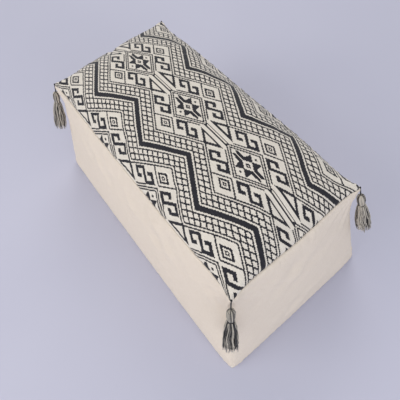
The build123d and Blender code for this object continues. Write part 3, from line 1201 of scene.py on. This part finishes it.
@dataclass
class Filling:
    """The lining bag and what is in it: a foam block between two layers of wadding."""

    body: str = "cushion"
    lining_inset: float = 6.0 * MM
    lining_thickness: float = 0.8 * MM
    wadding_inset: float = 7.4 * MM
    foam_inset: float = 11 * MM
    clear: float = 0.4 * MM

    def lining(self, name: str, node: str, keep: Callable[[bmesh.types.BMFace], bool],
               material: bpy.types.Material) -> bpy.types.Object:
        """Make one piece of the lining bag from the faces that keep chooses.

        Args:
            name: the piece's name.
            node: the CAD node that it replaces.
            keep: says whether a face belongs to this piece.
            material: its cloth.

        Returns:
            The piece.
        """
        bm = FORM.layer(self.lining_inset, None, None)
        away = [f for f in bm.faces if not keep(f)]
        bmesh.ops.delete(bm, geom=away, context="FACES")
        piece = settle(new_piece(name, bm, material), self.body, "lining_cloth", node)
        wall = piece.modifiers.new("cloth thickness", "SOLIDIFY")
        wall.thickness = self.lining_thickness
        wall.offset = -1.0
        return piece

    def block(self, name: str, slot: str, material: bpy.types.Material, inset: float,
              low: float | None, high: float | None) -> bpy.types.Object:
        """Args:
            name: the piece's name.
            slot: its material slot in the record.
            material: its finish.
            inset: how far it lies inside the cover.
            low: the level cut below it, if there is one.
            high: the level cut above it, if there is one.

        Returns:
            The piece.
        """
        bm = FORM.layer(inset, low, high)
        piece = settle(new_piece(name, bm, material), self.body, slot, name.replace("_fill", ""))
        return piece

    def build(self) -> list[bpy.types.Object]:
        """Make the lining bag, the wadding and the foam.

        Returns:
            The pieces of the filling.
        """
        cotton = WovenPlain("white_lawn", "#f1efe8", "#dddad0", thread_mm=0.8, relief=0.25,
                            uses_uv=False).material()
        foam, wadding = CellFoam().material(), FibreWadding().material()
        core_low, core_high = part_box("foam_core")
        base_high, top_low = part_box("wadding_base")[1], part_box("wadding_top")[0]
        upper = FORM.seam_height - self.lining_inset

        def on_top(face: bmesh.types.BMFace) -> bool:
            """Return whether a face belongs to the lining's top."""
            return face.calc_center_median().z > upper and face.normal.z > 0.3

        def on_base(face: bmesh.types.BMFace) -> bool:
            """Return whether a face belongs to the lining's base."""
            return face.calc_center_median().z < 20 * MM and face.normal.z < -0.8

        return [
            self.lining("liner_top_lawn", "liner_top", on_top, cotton),
            self.lining("liner_boxing_lawn", "liner_boxing",
                        lambda face: not on_top(face) and not on_base(face), cotton),
            self.lining("liner_base_lawn", "liner_base", on_base, cotton),
            self.block("foam_core_fill", "foam", foam, self.foam_inset, core_low.z, core_high.z),
            self.block("wadding_top_fill", "wadding", wadding, self.wadding_inset, top_low.z, None),
            self.block("wadding_base_fill", "wadding", wadding, self.wadding_inset, None,
                       base_high.z),
        ]


# ---------------------------------------------------------------------------------------------
# The zip
# ---------------------------------------------------------------------------------------------


@dataclass
class ZipFastener:
    """The coil zip at the foot of the rear: teeth, tapes, topstitching, slider, pull and stops."""

    body: str = "cushion"
    tooth_pitch: float = 1.5 * MM
    tooth_width: float = 0.8 * MM
    tooth_reach: float = 2.7 * MM
    tooth_height: float = 1.6 * MM
    stitch_pitch: float = 3.4 * MM
    stitch_length: float = 2.7 * MM
    stitch_radius: float = 0.32 * MM
    stitch_from_lip: float = 3.2 * MM

    def frame_at(self, x: float, up: float, out: float) -> Vector:
        """Return a point told by its place along the zip, up the slope and out of the face.

        Args:
            x: place along the zip.
            up: distance up the slope from the middle of the zip.
            out: distance out of the face.

        Returns:
            The point.
        """
        lean = math.atan2(FORM.base_half[1] - FORM.seam_half[1], FORM.seam_height)
        low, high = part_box("zipper_tape_lower")[0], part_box("zipper_tape_upper")[1]
        middle = (low.z + high.z) / 2
        y = FORM.rear_face(middle)
        return Vector((x, y - up * math.sin(lean) + out * math.cos(lean),
                       middle + up * math.cos(lean) + out * math.sin(lean)))

    def coil(self, name: str, node: str, way: int, material: bpy.types.Material) -> bpy.types.Object:
        """Make one half of the chain as a row of rounded, slanted teeth.

        Args:
            name: the piece's name.
            node: the plain CAD bar that it stands for.
            way: 1 for the upper half, -1 for the lower.
            material: its finish.

        Returns:
            The row of teeth.
        """
        low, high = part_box(node)
        count = int((high.x - low.x) / self.tooth_pitch) - 1
        bm = bmesh.new()
        offset = 0.25 * way * self.tooth_pitch
        middle_out = -0.65 * MM
        along_axis = self.frame_at(0, 1, 0) - self.frame_at(0, 0, 0)
        out_axis = self.frame_at(0, 0, 1) - self.frame_at(0, 0, 0)
        turn = Matrix((Vector((1, 0, 0)), along_axis, out_axis)).transposed().to_4x4()
        for k in range(count):
            x = low.x + (k + 1) * self.tooth_pitch + offset
            place = Matrix.Translation(self.frame_at(x, way * 0.95 * MM, middle_out))
            size = Matrix.Diagonal((self.tooth_width, self.tooth_reach, self.tooth_height, 1.0))
            bmesh.ops.create_cube(bm, size=1.0, matrix=place @ turn @ size)
        bmesh.ops.bevel(bm, geom=bm.edges[:], offset=0.22 * MM, affect="EDGES", segments=1,
                        profile=0.5, material=-1)
        return settle(new_piece(name, bm, material, smooth=False), self.body, "zip_coil", node)

    def topstitching(self, material: bpy.types.Material) -> bpy.types.Object:
        """Make the rows of stitches that hold the tapes behind the opening's two lips.

        Args:
            material: the thread.

        Returns:
            The piece.
        """
        tape_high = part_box("zipper_tape_upper")[1]
        half = tape_high.x - 6 * MM
        bm = bmesh.new()
        count = int(2 * half / self.stitch_pitch)
        for way in (1, -1):
            up = way * (COVER_OPENING / 2 + self.stitch_from_lip)
            for k in range(count):
                x = -half + (k + 0.5) * self.stitch_pitch
                ends = (-0.5, -0.3, 0.3, 0.5)
                depths = (-0.4, 0.38, 0.38, -0.4)
                path = np.array([self.frame_at(x + e * self.stitch_length, up, d * MM)
                                 for e, d in zip(ends, depths)])
                tube_along(bm, path, self.stitch_radius, 5)
        return settle(new_piece("zip_topstitching", bm, material), self.body, "cover_canvas")

    def build(self) -> list[bpy.types.Object]:
        """Make the teeth and the stitching and dress the CAD parts.

        Returns:
            The pieces that were modelled here.
        """
        nylon, nickel = NylonCoil().material(), NickelPlate().material()
        tape = WovenPlain("woven_tape", "#ddd1c1", "#c5b8a6", thread_mm=0.9, relief=0.4,
                          uses_uv=False).material()
        thread = WovenPlain("sewing_thread", "#ece3d7", "#d8ccbb", thread_mm=0.5, relief=0.2,
                            uses_uv=False).material()
        for node in ("zipper_tape_upper", "zipper_tape_lower"):
            dress_node(node, tape)
        for node in ("zipper_slider", "zipper_pull", "zipper_end_stops"):
            dress_node(node, nickel)
        return [self.coil("zipper_teeth_upper", "zipper_coil_upper", 1, nylon),
                self.coil("zipper_teeth_lower", "zipper_coil_lower", -1, nylon),
                self.topstitching(thread)]


COVER_OPENING = Cover().opening


# ---------------------------------------------------------------------------------------------
# The tassels
# ---------------------------------------------------------------------------------------------


@dataclass
class CornerTassel:
    """A hand tied tassel: a short cord from the corner's ear, a head of bent yarn, a neck, a skirt.

    Distances down are measured from where the cord leaves the corner.
    """

    corner: Corner
    seed: int
    cord_length: float = 30 * MM
    cord_diameter: float = 2.2 * MM
    head_top: float = 22.0 * MM
    neck_at: float = 50.5 * MM
    neck_height: float = 4.4 * MM
    neck_radius: float = 5.2 * MM
    end_at: float = 133 * MM
    head_strands: int = 46
    skirt_strands: int = 165
    # (share of the way down the skirt, radius of the bundle)
    skirt_profile: tuple[tuple[float, float], ...] = (
        (0.0, 4.9 * MM), (0.08, 7.2 * MM), (0.3, 10.2 * MM), (0.6, 12.4 * MM), (1.0, 13.4 * MM))
    head_profile: tuple[tuple[float, float], ...] = (
        (0.0, 1.8 * MM), (0.07, 4.4 * MM), (0.26, 6.6 * MM), (0.6, 6.9 * MM), (0.85, 6.0 * MM),
        (1.0, 4.7 * MM))
    pivot: np.ndarray = field(init=False)
    down: np.ndarray = field(init=False)
    across: np.ndarray = field(init=False)
    out: np.ndarray = field(init=False)
    rng: np.random.Generator = field(init=False)

    def __post_init__(self) -> None:
        """Read the corner's place from the joints that hold the tassel."""
        joints = {j["name"]: j for j in frame["record"]["behaviour"]["joints"]}
        self.pivot = np.array(joints[self.corner.tassel + "_lift"]["pos_m"])
        sway = np.array(joints[self.corner.tassel + "_sway"]["pos_m"])
        self.down = (sway - self.pivot) / np.linalg.norm(sway - self.pivot)
        self.across = np.cross(self.down, [0, 0, 1.0])
        self.across /= np.linalg.norm(self.across)
        self.out = np.cross(self.across, self.down)
        self.rng = np.random.default_rng(self.seed)

    def at(self, down: np.ndarray | float, across: np.ndarray | float,
           out: np.ndarray | float) -> np.ndarray:
        """Return the points at these distances down, across and out from the pivot."""
        return (self.pivot + np.multiply.outer(down, self.down)
                + np.multiply.outer(across, self.across) + np.multiply.outer(out, self.out))

    def tone(self, angle: float) -> float:
        """Return a strand's tone, from 0 for charcoal to 1 for pale grey, by where it stands."""
        lean = 0.56 - 0.12 * math.sin(angle + 0.35)
        return float(np.clip(lean + self.rng.choice([-0.42, 0.0, 0.36]), 0.0, 1.0))

    @staticmethod
    def paint(piece: bpy.types.Object, tones: Sequence[tuple[int, float]]) -> None:
        """Store each strand's tone on its faces, in the order that the strands were made.

        Args:
            piece: the piece.
            tones: each strand's number of faces and its tone.
        """
        values = np.concatenate([np.full(count, tone, np.float32) for count, tone in tones])
        mesh = piece.data
        store = mesh.attributes.new("yarn_tone", "FLOAT", "FACE")
        store.data.foreach_set("value", values[:len(mesh.polygons)])

    def strand(self, bm: bmesh.types.BMesh, path: np.ndarray, radius: Sequence[float] | float,
               sides: int, tones: list[tuple[int, float]], tone: float) -> None:
        """Add one strand and note how many faces it has and its tone.

        Args:
            bm: the mesh that it joins.
            path: the points along its middle.
            radius: one radius, or one per point.
            sides: how many sides it has.
            tones: the list to note it in.
            tone: from 0 for charcoal to 1 for pale grey.
        """
        before = len(bm.faces)
        tube_along(bm, path, radius, sides)
        tones.append((len(bm.faces) - before, tone))

    def head(self, material: bpy.types.Material) -> bpy.types.Object:
        """Make the head: strands that bend over the cord's knot and run down to the neck.

        Args:
            material: its yarn.

        Returns:
            The piece.
        """
        bm, tones = bmesh.new(), []
        share = np.linspace(0, 1, 9)
        length = self.neck_at - self.head_top
        outline = np.interp(share, *zip(*self.head_profile))
        for k in range(self.head_strands):
            angle = TURN * (k + self.rng.uniform(-0.3, 0.3)) / self.head_strands
            swirl = angle + 0.25 * share + self.rng.normal(0, 0.03)
            wide = outline * (1 + self.rng.normal(0, 0.035)) - 0.4 * MM
            path = self.at(self.head_top + share * length, wide * np.cos(swirl),
                           wide * np.sin(swirl))
            self.strand(bm, path, 0.6 * MM, 5, tones, self.tone(angle))
        core = self.at(self.head_top + 1.2 * MM + share * (length - 1.2 * MM), 0 * share, 0 * share)
        self.strand(bm, core, outline * 0.86, 14, tones, 0.3)
        piece = new_piece(self.corner.tassel + "_head_yarn", bm, material)
        self.paint(piece, tones)
        return settle(piece, self.corner.tassel, "tassel_yarn", self.corner.tassel + "_head")

    def neck(self, material: bpy.types.Material) -> bpy.types.Object:
        """Make the neck: a thread wound four and a half times round.

        Args:
            material: its thread.

        Returns:
            The piece.
        """
        bm, tones = bmesh.new(), []
        turns, radius = 4.5, 0.55 * MM
        share = np.linspace(0, 1, 109)
        angle = TURN * turns * share
        wide = self.neck_radius + 0.25 * MM * np.sin(5 * angle / 3)
        path = self.at(self.neck_at + share * self.neck_height, wide * np.cos(angle),
                       wide * np.sin(angle))
        self.strand(bm, path, radius, 6, tones, 0.12)
        piece = new_piece(self.corner.tassel + "_neck_tie", bm, material)
        self.paint(piece, tones)
        return settle(piece, self.corner.tassel, "cord_black", self.corner.tassel + "_binding")

    def skirt(self, material: bpy.types.Material) -> bpy.types.Object:
        """Make the skirt: loose, slightly wavy strands of uneven length that fan out downwards.

        Args:
            material: its yarn.

        Returns:
            The piece.
        """
        bm, tones = bmesh.new(), []
        share = np.linspace(0, 1, 12)
        top = self.neck_at - 1.0 * MM
        for k in range(self.skirt_strands):
            depth = math.sqrt((k + 0.5) / self.skirt_strands)
            angle = k * 2.399963 + self.rng.normal(0, 0.1)
            length = (self.end_at - top) * (1 - abs(self.rng.normal(0, 0.07)))
            bundle = np.interp(share, *zip(*self.skirt_profile)) * depth
            drift = self.rng.normal(0, 0.14)
            turn = angle + drift * share + 0.10 * np.sin(
                TURN * (share * self.rng.uniform(1.1, 2.1) + self.rng.uniform()))
            wave = self.rng.uniform(0.25, 0.75) * MM * np.sin(
                TURN * (share * self.rng.uniform(1.5, 3.2) + self.rng.uniform())) * share ** 0.5
            wide = bundle + wave
            path = self.at(top + share * length, wide * np.cos(turn), wide * np.sin(turn))
            sway = self.rng.normal(0, 0.35, 2)[:, None] * MM * share ** 2 * 2.0
            path = path + np.multiply.outer(sway[0], self.across) + np.multiply.outer(
                sway[1], self.out)
            thick = self.rng.uniform(0.5, 0.75) * MM
            radius = thick * np.array([0.85] + [1.0] * 9 + [0.95, 0.6])
            self.strand(bm, path, radius, 5, tones, self.tone(angle))
        piece = new_piece(self.corner.tassel + "_skirt_yarn", bm, material)
        self.paint(piece, tones)
        return settle(piece, self.corner.tassel, "tassel_yarn", self.corner.tassel + "_skirt")

    def cord(self, material: bpy.types.Material) -> bpy.types.Object:
        """Make the cord, from the corner's ear down into the top of the head.

        Args:
            material: its yarn.

        Returns:
            The piece.
        """
        curve = bpy.data.curves.new(self.corner.tassel + "_hanging_cord", "CURVE")
        curve.dimensions = "3D"
        curve.bevel_depth = self.cord_diameter / 2
        curve.bevel_resolution = 3
        curve.use_fill_caps = True
        curve.resolution_u = 6
        spline = curve.splines.new("NURBS")
        spline.points.add(6)
        share = np.linspace(0, 1, 7)
        bend = 0.35 * MM * np.sin(math.pi * share)
        for point, place in zip(spline.points, self.at(share * self.cord_length, bend, 0 * share)):
            point.co = (*place, 1.0)
        spline.order_u = 3
        spline.use_endpoint_u = True
        curve.materials.append(material)
        piece = bpy.data.objects.new(self.corner.tassel + "_hanging_cord", curve)
        bpy.context.scene.collection.objects.link(piece)
        settle(piece, self.corner.tassel + "_hanger", "cord_black", self.corner.tassel + "_cord")
        return piece

    def corner_tack(self, bm: bmesh.types.BMesh, tones: list[tuple[int, float]]) -> None:
        """Add the thread wound round the cord where it is sewn into the ear.

        Args:
            bm: the mesh that it joins.
            tones: the list to note it in.
        """
        share = np.linspace(0, 1, 40)
        angle = TURN * 3 * share
        path = self.at(-0.6 * MM + 2.0 * MM * share, 1.25 * MM * np.cos(angle),
                       1.25 * MM * np.sin(angle))
        self.strand(bm, path, 0.4 * MM, 5, tones, 0.05)

    def build(self, yarn: bpy.types.Material, cord: bpy.types.Material) -> list[bpy.types.Object]:
        """Make the whole tassel, in the order head, neck, skirt, cord."""
        return [self.head(yarn), self.neck(yarn), self.skirt(yarn), self.cord(cord)]


@dataclass
class Tassels:
    """The four corner tassels and the stitches that hold them."""

    body: str = "cushion"

    def build(self) -> list[bpy.types.Object]:
        """Make the tassels and the corner stitching.

        Returns:
            The pieces of the four tassels, then the corner stitching.
        """
        yarn = TwistedYarn("spun_tassel_yarn", (
            (0.0, "#1f1e23"), (0.34, "#3b393b"), (0.52, "#8d8780"), (0.78, "#bdb5a8"),
            (1.0, "#d3cbbd"))).material()
        cord = TwistedYarn("charcoal_cord", ((0.0, "#1d1c20"), (1.0, "#3c3b40"))).material()
        made, bm, tones = [], bmesh.new(), []
        for seed, corner in enumerate(Corner, start=11):
            tassel = CornerTassel(corner, seed)
            made += tassel.build(yarn, cord)
            tassel.corner_tack(bm, tones)
        tack = new_piece("corner_tack_stitches", bm, cord)
        made.append(settle(tack, self.body, "cord_black", "corner_stitching"))
        return made


# ---------------------------------------------------------------------------------------------
# The studio
# ---------------------------------------------------------------------------------------------


@dataclass
class Studio:
    """A pale floor, soft light from behind on the left, and the camera."""

    floor_size: float = 8.0
    floor_drop: float = 0.2 * MM    # keeps the floor clear of the base cloth
    sensor_mm: float = 36.0
    focal_mm: float = 36.9
    azimuth: float = 61.1
    elevation: float = 58.57
    roll: float = -9.18
    distance: float = 0.844
    target: tuple[float, float, float] = (0.046, -0.025, 0.098)
    ambient: str = "#eef2f6"
    ambient_strength: float = 0.55

    def floor(self) -> bpy.types.Object:
        """Make the floor.

        Returns:
            The floor.
        """
        bm = bmesh.new()
        bmesh.ops.create_grid(bm, x_segments=4, y_segments=4, size=self.floor_size / 2)
        for vert in bm.verts:
            vert.co.z = -self.floor_drop
        piece = new_piece("studio_floor", bm, PaintedFloor().material())
        return piece

    def lamp(self, name: str, place: Sequence[float], size: float, watts: float,
             colour: str) -> None:
        """Add a square soft light that faces the cushion.

        Args:
            name: the lamp's name.
            place: where it stands.
            size: the length of its side.
            watts: its power.
            colour: its sRGB hex colour.
        """
        lamp = bpy.data.lights.new(name, "AREA")
        lamp.size, lamp.energy, lamp.color = size, watts, linear(colour)[:3]
        holder = bpy.data.objects.new(name, lamp)
        holder.location = place
        facing = Vector((0, 0, FORM.seam_height / 2)) - Vector(place)
        holder.rotation_euler = facing.to_track_quat("-Z", "Y").to_euler()
        bpy.context.scene.collection.objects.link(holder)

    def camera(self) -> None:
        """Add the camera, turned about its own axis by the roll."""
        azimuth, elevation = math.radians(self.azimuth), math.radians(self.elevation)
        back = Vector((math.sin(azimuth) * math.cos(elevation),
                       -math.cos(azimuth) * math.cos(elevation), math.sin(elevation)))
        right = Vector((math.cos(azimuth), math.sin(azimuth), 0))
        up = back.cross(right)
        roll = math.radians(self.roll)
        side = right * math.cos(roll) + up * math.sin(roll)
        top = up * math.cos(roll) - right * math.sin(roll)
        data = bpy.data.cameras.new("camera")
        data.lens, data.sensor_width, data.clip_start = self.focal_mm, self.sensor_mm, 0.01
        camera = bpy.data.objects.new("camera", data)
        turn = Matrix((side, top, back)).transposed().to_4x4()
        camera.matrix_world = Matrix.Translation(
            Vector(self.target) + back * self.distance) @ turn
        bpy.context.scene.collection.objects.link(camera)
        bpy.context.scene.camera = camera

    def build(self) -> None:
        """Set up the floor, the lights, the sky and the camera."""
        self.floor()
        self.lamp("window_light", (-1.6, 1.5, 2.1), 1.8, 26.0, "#fffaf4")
        self.lamp("front_light", (-0.3, -2.0, 1.2), 2.0, 23.0, "#fffcf8")
        self.lamp("end_fill", (2.1, -0.3, 1.1), 1.6, 17.0, "#f8f9ff")
        world = bpy.data.worlds.new("studio_air")
        world.use_nodes = True
        air = world.node_tree.nodes["Background"]
        air.inputs["Color"].default_value = linear(self.ambient)
        air.inputs["Strength"].default_value = self.ambient_strength
        bpy.context.scene.world = world
        bpy.context.scene.view_settings.view_transform = "Standard"
        self.camera()


def triangles(piece: bpy.types.Object) -> int:
    """Return how many triangles a piece has once its modifiers are applied.

    Args:
        piece: the piece.

    Returns:
        The number of triangles.
    """
    done = piece.evaluated_get(bpy.context.evaluated_depsgraph_get())
    mesh = done.to_mesh()
    count = sum(len(p.vertices) - 2 for p in mesh.polygons)
    done.to_mesh_clear()
    return count


def main() -> None:
    """Build the cushion piece by piece, then the studio."""
    logging.basicConfig(level=logging.INFO, format="%(name)s: %(message)s")
    FORM.build()
    for group in (Cover(), Filling(), ZipFastener(), Tassels()):
        for piece in group.build():
            log.info("%s: %s, %d triangles", type(group).__name__, piece.name, triangles(piece))
    FORM.bm.free()
    Studio().build()


if __name__ == "__main__":
    main()
